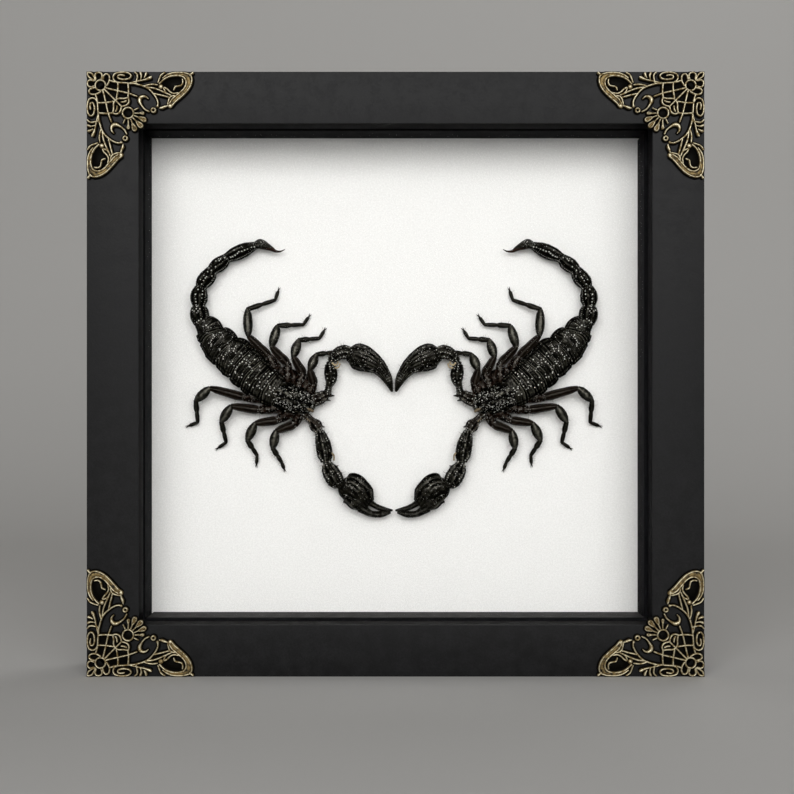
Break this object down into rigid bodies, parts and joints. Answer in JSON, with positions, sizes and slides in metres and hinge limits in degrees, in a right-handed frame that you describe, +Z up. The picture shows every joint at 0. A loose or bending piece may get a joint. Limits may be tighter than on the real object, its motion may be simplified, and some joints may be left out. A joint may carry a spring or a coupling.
{
  "type": "framed scorpion specimen",
  "caption": "Shadow box frame with filigree metal corners, holding a mirrored pair of dried scorpions behind glass on a pale backdrop.",
  "frame": {"origin": "middle of the frame's outer box at its underside", "axes": "+Z up, -Y out of the glass towards the viewer, +Y into the back, +X to the viewer's right"},
  "size_m": [0.2472, 0.0374, 0.2424],
  "materials": {
    "black_paint": "satin black paint on wood",
    "liner_black": "matt black paint",
    "clear_glass": "clear picture glass",
    "backdrop_paper": "white textured paper on board",
    "fibreboard": "brown hardboard",
    "zinc_steel": "zinc plated sheet",
    "antique_brass": "antique brass, dark in the recesses",
    "chitin": "black dried cuticle, glossy and granular"
  },
  "bodies": {
    "root": {"rail_top": "black_paint", "rail_bottom": "black_paint", "rail_left": "black_paint", "rail_right": "black_paint", "liner_top": "liner_black", "liner_bottom": "liner_black", "liner_left": "liner_black", "liner_right": "liner_black", "glass_pane": "clear_glass", "backdrop_panel": "backdrop_paper", "back_board": "fibreboard", "tab_1": "zinc_steel", "tab_2": "zinc_steel", "tab_3": "zinc_steel", "tab_4": "zinc_steel", "tab_5": "zinc_steel", "tab_6": "zinc_steel", "tab_7": "zinc_steel", "tab_8": "zinc_steel", "sawtooth_hanger": "zinc_steel", "hanger_nail_left": "antique_brass", "hanger_nail_right": "antique_brass", "ornament_top_left": "antique_brass", "ornament_top_right": "antique_brass", "ornament_bottom_left": "antique_brass", "ornament_bottom_right": "antique_brass", "scorpion_left": "chitin", "scorpion_right": "chitin"}
  },
  "joints": []
}
